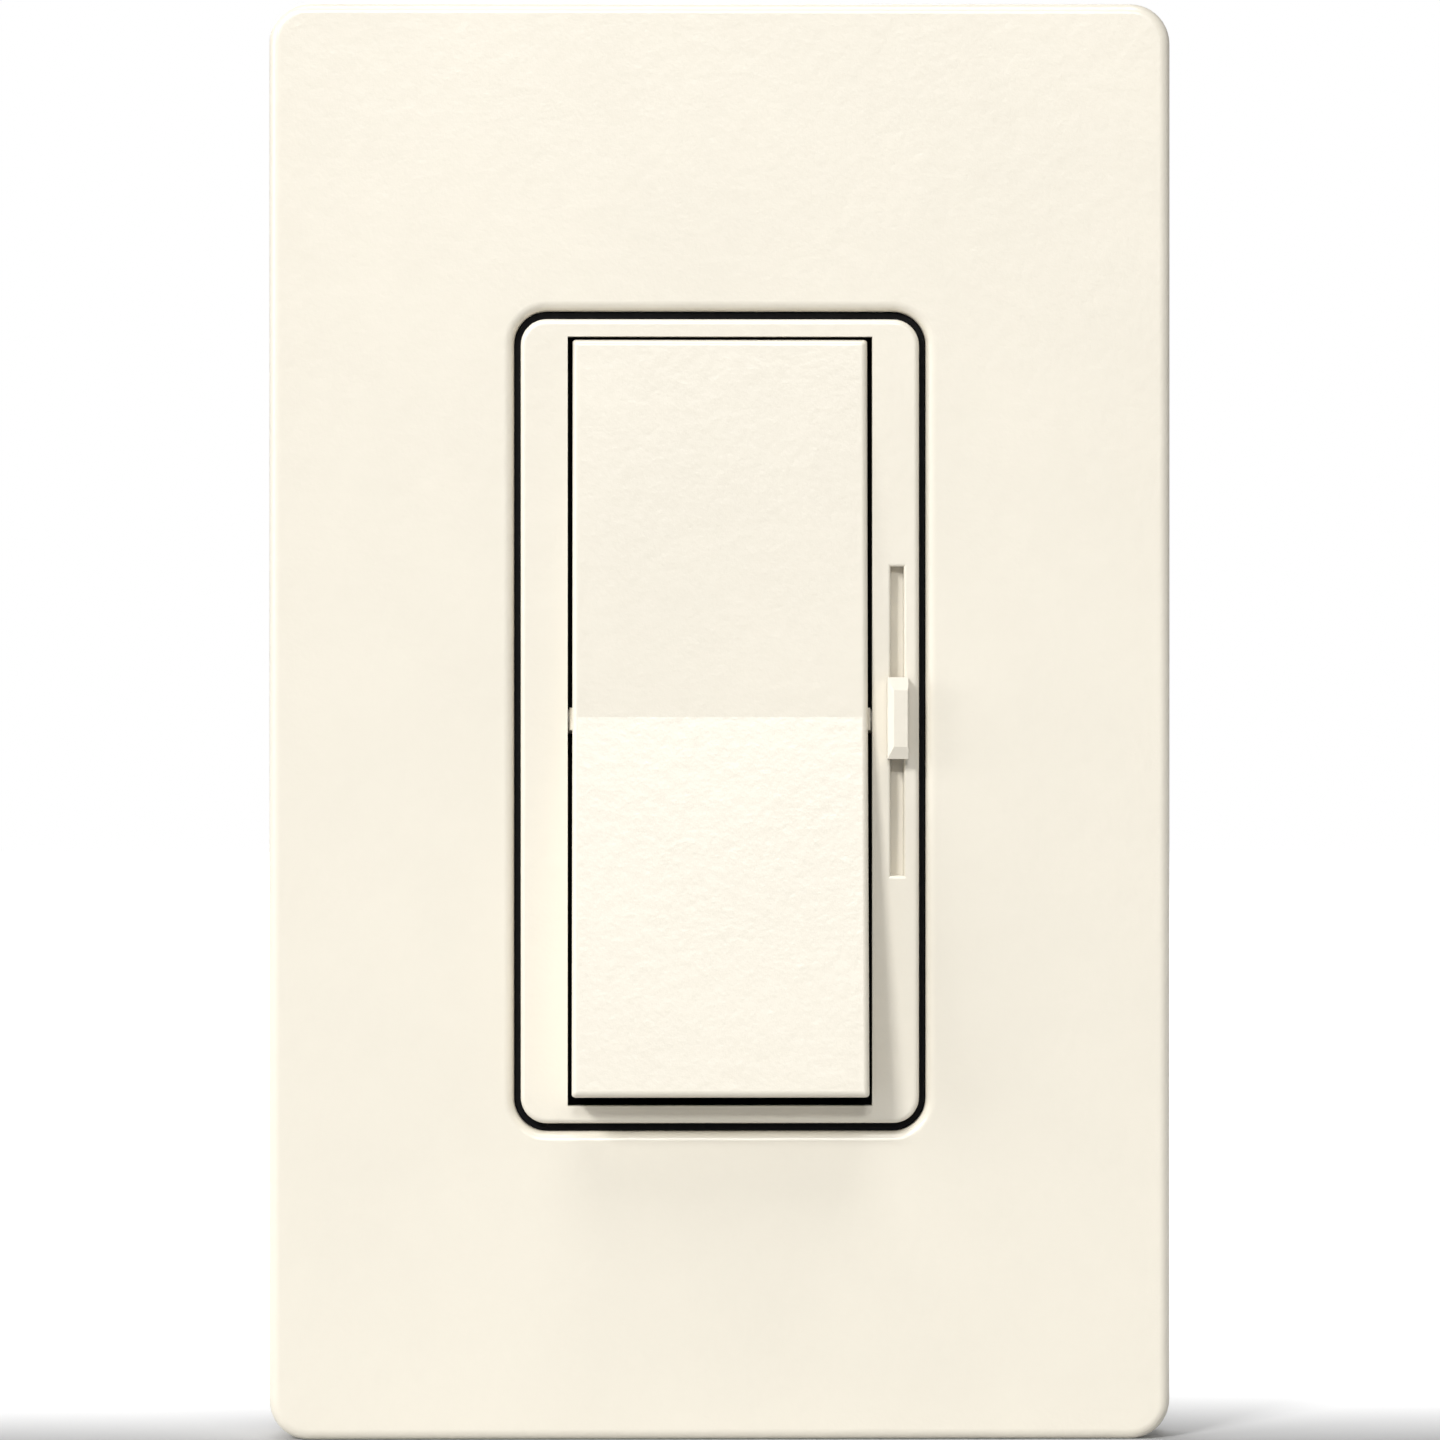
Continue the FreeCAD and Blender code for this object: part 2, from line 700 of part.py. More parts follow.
def plunger_spring():
    radius = plunger_radius - spring_wire_radius - running
    front = hub_floor + spring_wire_radius + spring_seat
    height = plunger_back - spring_wire_radius - spring_seat - front
    helix = Part.makeHelix(height / spring_turns, height, radius)
    start = Part.makeCircle(spring_wire_radius, vec(radius, 0, 0), vec(0, 1, 0))
    coil = Part.Wire(helix.Edges).makePipeShell([Part.Wire([start])], True, True)
    coil.rotate(vec(0, 0, 0), vec(1, 0, 0), -90)
    coil.translate(vec(0, front, 0))
    return at_rest(Part.Solid(coil) if coil.ShapeType == "Shell" else coil)


# ---------------------------------------------------------------- switch contacts
def rocker_at(shape, degrees):
    moved = shape.copy()
    moved.translate(vec(0, rocker_pivot_y, 0))
    return turned(moved, rocker_pivot_y, 0, degrees)


def contact_rocker():
    front = -rocker_plate_front
    back = front + rocker_plate
    lean = rocker_half_height * math.tan(math.radians(rocker_bend))
    end = rocker_half_height
    outline = [(front, 0), (front - lean, end), (back - lean, end),
               (back, 0), (back - lean, -end), (front - lean, -end)]
    plate = side_profile(outline, -rocker_half_width, rocker_half_width)
    pin_half = carrier_half_width - carrier_wall / 4
    pin = rod_x(rocker_pin_radius, -pin_half, pin_half, 0, 0)
    return rocker_at(joined([plate, pin]), rocker_tilt)


def rocker_buttons():
    """The two moving contacts in the rocker's own frame."""
    back = rocker_plate - rocker_plate_front
    buttons = []
    for end in (-1, 1):
        button = rod_y(contact_radius, back, back + contact_thickness, 0, end * contact_place)
        buttons.append(turned(button, back, 0, end * rocker_bend))
    return Part.makeCompound(buttons)


def rocker_contacts():
    return rocker_at(rocker_buttons(), rocker_tilt)


fixed_leg_place = contact_strip_start + strip_metal / 2
common_leg_place = (common_plate_width - strip_metal) / 2


def fixed_contact_y():
    """Front of the fixed contacts: just behind the moving one when it is closed."""
    return rocker_contacts().BoundBox.YMax + contact_gap


def fixed_contact(end):
    """The contact above (end 1) or below (end -1) the pivot, with its leg through the board."""
    front = fixed_contact_y()
    strip_y = front + fixed_contact_thickness
    half = contact_strip_width / 2
    button = rod_y(contact_radius, front, strip_y, 0, end * contact_place)
    span = sorted((end * (carrier_half_height - carrier_wall), end * contact_strip_start))
    strip = box(-half, half, strip_y, strip_y + strip_metal, span[0], span[1])
    leg = centred_box(contact_leg_width, strip_metal, strip_y, board_back_y + lead_length,
                      0, end * fixed_leg_place)
    return joined([button, strip, leg])


def common_contact():
    front = rocker_pivot_y + rocker_pin_radius + contact_gap
    plate = centred_box(common_plate_width, common_plate_height, front, front + strip_metal)
    leg = centred_box(strip_metal, contact_leg_width, front, board_back_y + lead_length,
                      common_leg_place)
    return joined([plate, leg])


def switch_carrier():
    back_y = board_y - 2 * assembly_gap
    outer = centred_box(2 * carrier_half_width, 2 * carrier_half_height, assembly_gap, back_y)
    inner_x = carrier_half_width - carrier_wall
    inner_z = carrier_half_height - carrier_wall
    body = outer.cut(centred_box(2 * inner_x, 2 * inner_z, -1, back_y + 1))
    shelf_y = fixed_contact_y() + fixed_contact_thickness + strip_metal
    bar_y = rocker_pivot_y + rocker_pin_radius + contact_gap + strip_metal
    width = 2 * inner_x + carrier_wall
    pieces = [body]
    for end in (-1, 1):
        pieces.append(centred_box(width, shelf_reach + carrier_wall / 2, shelf_y, back_y, 0,
                                  end * (inner_z + carrier_wall / 4 - shelf_reach / 2)))
    bar = centred_box(width, common_plate_height, bar_y, bar_y + common_bar_thickness)
    pieces.append(bar.cut(centred_box(strip_metal + leg_hole_room, contact_leg_width + leg_hole_room,
                                      bar_y - 1, bar_y + 2 * common_bar_thickness,
                                      common_leg_place)))
    body = joined(pieces)
    return body.cut(rod_x(rocker_pin_radius + running, -carrier_half_width - 1,
                          carrier_half_width + 1, rocker_pivot_y, 0))


# ---------------------------------------------------------------- level slider
def slider_knob():
    """Thumb knob on the bezel's face, with the stem that passes through the slot."""
    back = bezel_face_y - assembly_gap
    base_y = back - knob_base
    front = bezel_face_y - knob_proud
    low = knob_rest - knob_height / 2
    high = knob_rest + knob_height / 2
    base = centred_box(knob_width, knob_height, base_y, back, slot_x, knob_rest)
    left = slot_x - knob_width / 2
    right = slot_x + knob_width / 2
    wires = []
    for y, near, bottom, top in ((base_y, left, low, high),
                                 (front, left + knob_side_bevel, low + knob_bottom_bevel,
                                  high - knob_top_bevel)):
        corners = [vec(near, y, bottom), vec(right, y, bottom), vec(right, y, top),
                   vec(near, y, top)]
        wires.append(Part.makePolygon(corners + [corners[0]]))
    crown = Part.makeLoft(wires, True, True)
    cap = joined([base, crown])
    cap = cap.makeFillet(knob_edge_radius, edges_in_plane(cap, front))
    stem_width = slot_width - 2 * slide_gap
    stem = centred_box(stem_width, knob_height - stem_height_inset, back - knob_base / 2,
                       strip_front_y, slot_x, knob_rest)
    return joined([cap, stem])


def dust_strip():
    return centred_box(strip_width, 2 * strip_half, strip_front_y, strip_back_y, slot_x, knob_rest)


def slider_carrier():
    arm = centred_box(arm_width, arm_height, strip_back_y, pot_block_front_y + pot_block_depth / 2,
                      slot_x, knob_rest)
    block = centred_box(2 * pot_block_half_width, 2 * pot_block_half_height,
                        pot_block_front_y, pot_block_back_y, slot_x, knob_rest)
    return joined([arm, block])


def slider_wiper():
    foot_y = pot_block_back_y + wiper_leaf
    tip_y = pot_block_back_y + wiper_reach
    base = centred_box(wiper_width, wiper_height, pot_block_back_y, foot_y, slot_x, knob_rest)
    outer = finger_half_height
    inner = finger_half_height - 2 * wiper_leaf
    arch = [(foot_y, -outer), (tip_y, -finger_tip_half), (tip_y, finger_tip_half),
            (foot_y, outer), (foot_y, inner), (tip_y - wiper_leaf, finger_tip_half / 2),
            (tip_y - wiper_leaf, -finger_tip_half / 2), (foot_y, -inner)]
    raised = [(y, z + knob_rest) for y, z in arch]
    fingers = []
    for side in (-1, 1):
        x = slot_x + side * track_offset
        fingers.append(side_profile(raised, x - finger_width / 2, x + finger_width / 2))
    return joined([base] + fingers)


def pot_tracks():
    length = 2 * (slider_travel + track_end)
    return Part.makeCompound([centred_box(track_width, length, track_front_y, track_board_y,
                                          slot_x + side * track_offset) for side in (-1, 1)])


def pot_track_board():
    width = 2 * (pot_half_width - pot_wall - assembly_gap)
    height = 2 * (pot_half_height - pot_wall - assembly_gap)
    return centred_box(width, height, track_board_y, pot_back_y, slot_x)


def pot_frame():
    outer = centred_box(2 * pot_half_width, 2 * pot_half_height, pot_front_y,
                        pot_back_y + pot_wall, slot_x)
    inner = centred_box(2 * (pot_half_width - pot_wall), 2 * (pot_half_height - pot_wall),
                        pot_front_y - 1, pot_back_y, slot_x)
    pieces = [outer.cut(inner)]
    for end in (-1, 1):
        pieces.append(centred_box(pot_leg_width, pot_leg_thickness, pot_back_y, board_back_y,
                                  slot_x, end * pot_leg_place))
    return joined(pieces)


# ---------------------------------------------------------------- housing and board
def post_places():
    return [(x, z) for x in (-post_x, post_x) for z in (-post_z, post_z)]


def terminal_places():
    """Side (-1 left, 1 right) and height of each screw terminal."""
    return [(-1, terminal_height), (1, terminal_height), (1, -terminal_height)]


def housing():
    body = rounded_slab(2 * housing_half_width, 2 * housing_half_height, housing_corner_radius,
                        0, housing_depth)
    body = body.makeFillet(housing_back_radius, edges_in_plane(body, housing_depth))
    floor_y = housing_depth - housing_wall
    middle_of_floor = housing_depth - housing_wall / 2
    middle_of_wall = housing_half_width - housing_wall / 2
    body = body.cut(centred_box(2 * housing_inner_x, 2 * housing_inner_z, -1, floor_y))
    pieces = [body]
    for x, z in post_places():
        pieces.append(rod_y(post_radius, 0, middle_of_floor, x, z))
    for side, z in terminal_places():
        pieces.append(side_box(side, recess_floor_x - recess_wall, middle_of_wall,
                               recess_front_y, middle_of_floor,
                               z - recess_half_height - recess_wall,
                               z + recess_half_height + recess_wall))
    body = joined(pieces)
    cutters = []
    for side, z in terminal_places():
        cutters.append(side_box(side, recess_floor_x, housing_half_width + 1,
                                recess_front_y + recess_wall, housing_depth + 1,
                                z - recess_half_height, z + recess_half_height))
        cutters.append(bracket_tail(side, z, assembly_gap))
    for x, z in post_places():
        cutters.append(rod_y(housing_screw_radius + screw_clearance, -1, housing_depth + 1, x, z))
        cutters.append(rod_y(housing_screw_head_radius + head_room,
                             housing_depth - housing_screw_sunk, housing_depth + 1, x, z))
    cutters.append(rounded_slab(label_width, label_height, label_radius,
                                housing_depth - label_depth, housing_depth + 1))
    return body.cut(cutters)


def housing_screws():
    seat_y = housing_depth - housing_screw_sunk
    length = seat_y - yoke_front_y - housing_screw_set_back
    screw = pan_screw(housing_screw_head_radius, housing_screw_head_height,
                      housing_screw_radius, length)
    return Part.makeCompound([placed(screw, x, seat_y, z, 180)
                              for x, z in post_places()])


def board_holes():
    """Square holes, larger than the leads that pass through them."""
    front = board_y - 1
    back = board_back_y + 1
    room = 2 * leg_hole_room
    long_side = contact_leg_width + room
    short_side = strip_metal + room
    holes = [centred_box(board_hole, board_hole, front, back, x, z) for x, z in lead_places()]
    holes.append(centred_box(short_side, long_side, front, back, common_leg_place, 0))
    for end in (-1, 1):
        holes.append(centred_box(long_side, short_side, front, back, 0, end * fixed_leg_place))
        holes.append(centred_box(pot_leg_width + room, pot_leg_thickness + room, front, back,
                                 slot_x, end * pot_leg_place))
    for side, z in terminal_places():
        holes.append(bracket_tail(side, z, assembly_gap))
    return holes


def circuit_board():
    board = centred_box(2 * (housing_inner_x - board_margin), 2 * (housing_inner_z - board_margin),
                        board_y, board_back_y)
    notch = 2 * (post_radius + board_margin)
    for x, z in post_places():
        board = board.cut(centred_box(notch, notch, board_y - 1, board_back_y + 1, x, z))
    return board.cut(board_holes())


# ---------------------------------------------------------------- side terminals
bracket_inner_x = recess_floor_x + bracket_stand_off
bracket_outer_x = bracket_inner_x + terminal_metal
bracket_front_y = recess_front_y + recess_wall + bracket_clearance
clamp_inner_x = bracket_outer_x + wire_gap
clamp_outer_x = clamp_inner_x + clamp_thickness


def bracket_tail(side, z, grow=0.0):
    half = bracket_tail_height / 2 + grow
    return side_box(side, bracket_inner_x - grow, bracket_outer_x + grow,
                    board_y - bracket_tail_front - grow,
                    bracket_front_y + assembly_gap + grow, z - half, z + half)


def terminal_brackets():
    brackets = []
    for side, z in terminal_places():
        plate = side_box(side, bracket_inner_x, bracket_outer_x, bracket_front_y,
                         terminal_screw_y + terminal_plate_half,
                         z - terminal_plate_half, z + terminal_plate_half)
        hole = rod_x(thread_radius + screw_clearance, -plate_width, plate_width,
                     terminal_screw_y, z)
        brackets.append(joined([plate, bracket_tail(side, z)]).cut(hole))
    return Part.makeCompound(brackets)


def terminal_clamps():
    clamps = []
    for side, z in terminal_places():
        plate = side_box(side, clamp_inner_x, clamp_outer_x, terminal_screw_y - clamp_half,
                         terminal_screw_y + clamp_half, z - clamp_half, z + clamp_half)
        clamps.append(plate.cut(rod_x(thread_radius + screw_clearance, -plate_width, plate_width,
                                      terminal_screw_y, z)))
    return Part.makeCompound(clamps)


def terminal_screws():
    length = clamp_outer_x - recess_floor_x - assembly_gap
    screw = pan_screw(terminal_head_radius, terminal_head_height, thread_radius, length)
    return Part.makeCompound([placed(screw, side * clamp_outer_x, terminal_screw_y, z, side * 90)
                              for side, z in terminal_places()])


# ---------------------------------------------------------------- electronics
component_y = board_back_y + 0.3   # parts stand just off the board
lead_radius = 0.32
# parts that lie along Z: place (x, z), body radius, body length
resistor_places = [(6.2, -14.0), (8.7, -14.0), (11.2, -14.0)]
resistor_size = (1.1, 6.4)
diac_place = (9.5, 20.0)
diac_size = (0.9, 3.8)
cutoff_place = (-9.8, -1.5)
cutoff_size = (1.6, 8.0)
axial_span = 10.6                  # between the two bent leads
axial_lift = 0.4                   # body off the parts' plane
# boxed capacitors: place (x, z), then width, height, depth, and the leads' spacing
film_place = (-2.0, 19.0)
film_size = (17.5, 8.0, 12.6)
film_lead_spacing = 15.0
snubber_place = (-4.2, 9.5)
snubber_size = (13.0, 5.0, 10.0)
snubber_lead_spacing = 10.0
capacitor_edge_radius = 0.5
# ring choke, on its flat side
choke_place = (-3.8, -16.0)
choke_inner_radius = 4.4
choke_outer_radius = 7.6
choke_height = 5.6
choke_wire = 0.9
choke_gap = 0.03                   # between the core and its winding
choke_lead_inset = 1.2             # leads inside the core's outer radius
choke_slit = 2.4                   # bare part of the ring, where the winding ends
# disc varistor, on edge
varistor_place = (7.8, 7.5)
varistor_radius = 4.6
varistor_thickness = 3.4
varistor_edge_radius = 1.2
varistor_lift = 1.2
varistor_lead_spacing = 5.0
# power switch, behind the yoke
triac_screw_z = 4.4
triac_screw_radius = 1.2
triac_screw_set_back = 0.2         # screw's end behind the yoke's front face
triac_head_radius = 2.2
triac_head_height = 1.5
triac_hole_radius = 1.8
triac_tab = (10.0, 15.6, 1.3)      # width, height, thickness
triac_tab_below = 5.0              # tab's centre below its screw
triac_case = (10.0, 9.0, 4.5)
triac_case_below = 8.3
triac_leg = (0.7, 2.4, 0.6)
triac_leg_y = 2.4
triac_leg_end = (0.7, 0.5)
triac_leg_z = triac_screw_z - triac_case_below - triac_case[1] / 2 - 1.75
pad_thickness = 0.2
pad_size = (10.6, 17.0)


def through_lead(radius, back, x, z):
    return rod_y(radius, board_y - solder_stub, back, x, z)


def axial_part(place, size):
    """A cylinder along Z with two leads bent forward through the board."""
    x, z = place
    radius, length = size
    y = component_y + radius + axial_lift
    pieces = [rod_z(radius, z - length / 2, z + length / 2, x, y)]
    pieces.append(rod_z(lead_radius, z - axial_span / 2, z + axial_span / 2, x, y))
    for end in (-1, 1):
        lead_z = z + end * axial_span / 2
        pieces.append(through_lead(lead_radius, y, x, lead_z))
        pieces.append(Part.makeSphere(lead_radius, vec(x, y, lead_z)))
    return joined(pieces)


def boxed_capacitor(place, size, lead_spacing):
    x, z = place
    width, height, depth = size
    case = centred_box(width, height, component_y, component_y + depth, x, z)
    case = case.makeFillet(capacitor_edge_radius, case.Edges)
    leads = [through_lead(lead_radius, component_y + 1, x + side * lead_spacing / 2, z)
             for side in (-1, 1)]
    return joined([case] + leads)


def choke_ring(grow, low):
    """The core, or with grow the ring that is that much larger on every side."""
    x, z = choke_place
    front = low - grow
    back = low + choke_height + grow
    ring = rod_y(choke_outer_radius + grow, front, back, x, z)
    return ring.cut(rod_y(choke_inner_radius - grow, front - 1, back + 1, x, z))


def choke_pair():
    """Ring core on its back behind the board, and the winding around its section."""
    x, z = choke_place
    low = component_y + choke_wire + assembly_gap
    ring = choke_ring(0, low)
    coat = choke_ring(choke_wire, low).cut(choke_ring(choke_gap, low))
    slit = centred_box(choke_slit, choke_outer_radius + 2 * choke_wire, low - 2 * choke_wire,
                       low + choke_height + 2 * choke_wire, x, z + choke_outer_radius / 2 + 1)
    lead_reach = choke_outer_radius - choke_lead_inset
    leads = [through_lead(choke_wire / 2, component_y + 1, x + side * lead_reach, z)
             for side in (-1, 1)]
    winding = joined([coat.cut(slit)] + leads)
    return ring, winding.cut(ring)


def varistor():
    x, z = varistor_place
    y = component_y + varistor_lift + varistor_radius
    disc = rod_z(varistor_radius, z - varistor_thickness / 2, z + varistor_thickness / 2, x, y)
    disc = disc.makeFillet(varistor_edge_radius, disc.Edges)
    leads = [through_lead(lead_radius, y - varistor_radius / 2,
                          x + side * varistor_lead_spacing / 2, z) for side in (-1, 1)]
    return joined([disc] + leads)


def triac():
    """Power switch screwed to the back of the yoke, its three legs bent back into the board."""
    tab = centred_box(triac_tab[0], triac_tab[1], pad_thickness, pad_thickness + triac_tab[2],
                      triac_x, triac_screw_z - triac_tab_below)
    tab = tab.cut(rod_y(triac_hole_radius, -1, 2 * triac_tab[2], triac_x, triac_screw_z))
    case = centred_box(triac_case[0], triac_case[1], pad_thickness, pad_thickness + triac_case[2],
                       triac_x, triac_screw_z - triac_case_below)
    pieces = [tab, case]
    width, height, thickness = triac_leg
    end_width, end_height = triac_leg_end
    for pin in (-1, 0, 1):
        x = triac_x + pin * lead_pitch
        pieces.append(centred_box(width, height, triac_leg_y, triac_leg_y + thickness,
                                  x, triac_leg_z + (height - end_height) / 2))
        pieces.append(centred_box(end_width, end_height, triac_leg_y, board_back_y + lead_length,
                                  x, triac_leg_z))
    return joined(pieces)


def triac_pad():
    pad = centred_box(pad_size[0], pad_size[1], 0, pad_thickness,
                      triac_x, triac_screw_z - triac_tab_below)
    return pad.cut(rod_y(triac_hole_radius, -1, 1, triac_x, triac_screw_z))


def triac_screw():
    seat_y = pad_thickness + triac_tab[2]
    length = seat_y - yoke_front_y - triac_screw_set_back
    screw = pan_screw(triac_head_radius, triac_head_height, triac_screw_radius, length)
    return placed(screw, triac_x, seat_y, triac_screw_z, 180)


def lead_places():
    """Where leads pass through the board."""
    places = []
    for x, z in resistor_places + [diac_place, cutoff_place]:
        for end in (-1, 1):
            places.append((x, z + end * axial_span / 2))
    upright = [(film_place, film_lead_spacing / 2), (snubber_place, snubber_lead_spacing / 2),
               (choke_place, choke_outer_radius - choke_lead_inset),
               (varistor_place, varistor_lead_spacing / 2)]
    for place, reach in upright:
        for side in (-1, 1):
            places.append((place[0] + side * reach, place[1]))
    for pin in (-1, 0, 1):
        places.append((triac_x + pin * lead_pitch, triac_leg_z))
    return places


def resistors():
    return Part.makeCompound([axial_part(place, resistor_size) for place in resistor_places])


# ---------------------------------------------------------------- every node
def build():
    core, winding = choke_pair()
    return {
        "wallplate_cover": wallplate_cover(),
        "wallplate_adapter": wallplate_adapter(),
        "adapter_screws": adapter_screws(),
        "mounting_yoke": mounting_yoke(),
        "mounting_screws": mounting_screws(),
        "ground_screw": ground_screw(),
        "insulating_barrier": insulating_barrier(),
        "bezel": bezel(),
        "paddle": paddle(),
        "plunger": plunger(),
        "plunger_spring": plunger_spring(),
        "contact_rocker": contact_rocker(),
        "rocker_contacts": rocker_contacts(),
        "on_contact": fixed_contact(-1),
        "traveller_contact": fixed_contact(1),
        "common_contact": common_contact(),
        "switch_carrier": switch_carrier(),
        "slider_knob": slider_knob(),
        "dust_strip": dust_strip(),
        "slider_carrier": slider_carrier(),
        "slider_wiper": slider_wiper(),
        "pot_tracks": pot_tracks(),
        "pot_track_board": pot_track_board(),
        "pot_frame": pot_frame(),
        "housing": housing(),
        "housing_screws": housing_screws(),
        "circuit_board": circuit_board(),
        "terminal_brackets": terminal_brackets(),
        "terminal_clamps": terminal_clamps(),
        "terminal_screws": terminal_screws(),
        "triac": triac(),
        "triac_pad": triac_pad(),
        "triac_screw": triac_screw(),
        "choke_core": core,
        "choke_winding": winding,
        "film_capacitor": boxed_capacitor(film_place, film_size, film_lead_spacing),
        "snubber_capacitor": boxed_capacitor(snubber_place, snubber_size, snubber_lead_spacing),
        "varistor": varistor(),
        "resistors": resistors(),
        "diac": axial_part(diac_place, diac_size),
        "thermal_cutoff": axial_part(cutoff_place, cutoff_size),
    }


os.makedirs("parts", exist_ok=True)
for name, shape in build().items():
    shape.exportStep(f"parts/{name}.step")
    print(name, shape.ShapeType, len(shape.Solids), round(shape.Volume, 2), shape.isValid())
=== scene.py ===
"""Looks for the slide dimmer: materials, thread and moulding detail, studio and camera.

Metres throughout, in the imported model's frame: +Z up, the front looks along -Y, the wall is Y = 0.
"""
import json
import math

import bmesh
import bpy
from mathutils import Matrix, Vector


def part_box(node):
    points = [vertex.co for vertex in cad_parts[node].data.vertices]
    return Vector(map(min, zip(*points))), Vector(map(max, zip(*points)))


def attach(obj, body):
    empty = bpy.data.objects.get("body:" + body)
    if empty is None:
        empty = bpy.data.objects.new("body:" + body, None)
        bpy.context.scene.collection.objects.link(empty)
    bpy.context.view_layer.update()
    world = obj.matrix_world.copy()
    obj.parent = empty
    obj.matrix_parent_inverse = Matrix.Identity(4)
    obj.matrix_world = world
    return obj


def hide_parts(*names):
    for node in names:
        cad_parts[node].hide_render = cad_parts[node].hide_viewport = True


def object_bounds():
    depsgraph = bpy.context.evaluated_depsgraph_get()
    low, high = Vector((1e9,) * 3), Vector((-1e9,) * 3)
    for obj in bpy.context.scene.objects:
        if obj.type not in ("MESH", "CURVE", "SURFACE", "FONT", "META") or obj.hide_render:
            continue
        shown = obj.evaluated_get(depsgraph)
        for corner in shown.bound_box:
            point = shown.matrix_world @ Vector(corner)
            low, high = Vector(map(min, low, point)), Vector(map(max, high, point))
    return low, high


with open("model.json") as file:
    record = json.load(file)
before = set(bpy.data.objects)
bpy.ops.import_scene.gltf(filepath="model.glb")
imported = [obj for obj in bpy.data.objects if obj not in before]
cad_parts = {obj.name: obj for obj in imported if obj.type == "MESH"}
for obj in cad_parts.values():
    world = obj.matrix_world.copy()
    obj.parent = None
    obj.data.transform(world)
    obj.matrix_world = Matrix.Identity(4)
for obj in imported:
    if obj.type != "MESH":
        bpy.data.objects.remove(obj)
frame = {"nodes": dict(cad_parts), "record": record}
cad_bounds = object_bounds()
nodes = frame["nodes"]

MM = 0.001


# ---------------------------------------------------------------- node trees
def new_material(name):
    material = bpy.data.materials.new(name)
    material.use_nodes = True
    tree = material.node_tree
    tree.nodes.clear()
    output = tree.nodes.new("ShaderNodeOutputMaterial")
    shader = tree.nodes.new("ShaderNodeBsdfPrincipled")
    tree.links.new(shader.outputs["BSDF"], output.inputs["Surface"])
    coords = tree.nodes.new("ShaderNodeTexCoord")
    return material, tree, shader, coords.outputs["Object"]


def stretched(tree, coords, scale):
    """The object coordinates, multiplied along each axis."""
    mapping = tree.nodes.new("ShaderNodeMapping")
    mapping.inputs["Scale"].default_value = scale
    tree.links.new(coords, mapping.inputs["Vector"])
    return mapping.outputs["Vector"]


def noise(tree, coords, size, detail=3.0, roughness=0.5):
    """Noise whose features are about size metres across."""
    node = tree.nodes.new("ShaderNodeTexNoise")
    node.inputs["Scale"].default_value = 1.0 / size
    node.inputs["Detail"].default_value = detail
    node.inputs["Roughness"].default_value = roughness
    tree.links.new(coords, node.inputs["Vector"])
    return node.outputs["Fac"]


def cells(tree, coords, size):
    """Soft rounded cells about size metres across."""
    node = tree.nodes.new("ShaderNodeTexVoronoi")
    node.feature = "SMOOTH_F1"
    node.inputs["Scale"].default_value = 1.0 / size
    node.inputs["Smoothness"].default_value = 0.6
    tree.links.new(coords, node.inputs["Vector"])
    return node.outputs["Distance"]


def spread(tree, value, low, high, from_low=0.3, from_high=0.7):
    """Map a texture's middle range onto low to high."""
    node = tree.nodes.new("ShaderNodeMapRange")
    node.inputs["From Min"].default_value = from_low
    node.inputs["From Max"].default_value = from_high
    node.inputs["To Min"].default_value = low
    node.inputs["To Max"].default_value = high
    tree.links.new(value, node.inputs["Value"])
    return node.outputs["Result"]


def blend_colors(tree, factor, first, second):
    """The first colour where factor is 0 and the second where it is 1."""
    node = tree.nodes.new("ShaderNodeMix")
    node.data_type = "RGBA"
    node.inputs["A"].default_value = (*first, 1.0)
    node.inputs["B"].default_value = (*second, 1.0)
    tree.links.new(factor, node.inputs["Factor"])
    return node.outputs["Result"]


def add_bump(tree, shader, height, depth, previous=None):
    """Bump of the given depth on the shader, over a previous bump when one is given."""
    node = tree.nodes.new("ShaderNodeBump")
    node.inputs["Distance"].default_value = depth
    tree.links.new(height, node.inputs["Height"])
    if previous is not None:
        tree.links.new(previous, node.inputs["Normal"])
    tree.links.new(node.outputs["Normal"], shader.inputs["Normal"])
    return node.outputs["Normal"]


def tinted(color, amount):
    """The colour made darker or lighter, kept between 0 and 1."""
    return tuple(max(0.0, min(1.0, channel * amount)) for channel in color)


# ---------------------------------------------------------------- materials
IVORY = (0.815, 0.765, 0.655)
IVORY_SPECULAR = 0.9               # a glossier surface than plain plastic's 0.5
# near-perfect black, darker than real plastic: painted shade of the narrow gaps round the bezel and
# round the paddle
GAP_SHADE_BLACK = (0.0050, 0.0050, 0.0052)
GREY_BLACK = (0.030, 0.030, 0.031)
# the two layers of a plastic's texture, as multiples of its grain and depth
LEATHER_SIZE, LEATHER_DEPTH = 2.2, 3.4
FINE_SIZE, FINE_DEPTH = 0.8, 0.5


def moulded_plastic(name, color, roughness, grain=0.55 * MM, depth=0.010 * MM, mottling=0.02,
                    specular=0.5):
    """Moulded plastic: slow colour drift, slightly uneven sheen, and a leathery waviness with
    finer cells on top. The grain sets the size of both and the depth their height."""
    material, tree, shader, coords = new_material(name)
    drift = noise(tree, coords, 14 * MM, 2.0)
    color_out = blend_colors(tree, spread(tree, drift, 0.0, 1.0),
                             tinted(color, 1.0 - mottling), tinted(color, 1.0 + mottling / 2))
    tree.links.new(color_out, shader.inputs["Base Color"])
    sheen = noise(tree, coords, 2.2 * MM, 3.0)
    tree.links.new(spread(tree, sheen, roughness - 0.015, roughness + 0.02),
                   shader.inputs["Roughness"])
    leather = noise(tree, coords, LEATHER_SIZE * grain, 4.0, 0.62)
    normal = add_bump(tree, shader, leather, LEATHER_DEPTH * depth)
    fine = cells(tree, coords, FINE_SIZE * grain)
    add_bump(tree, shader, fine, FINE_DEPTH * depth, normal)
    shader.inputs["Specular IOR Level"].default_value = specular
    return material


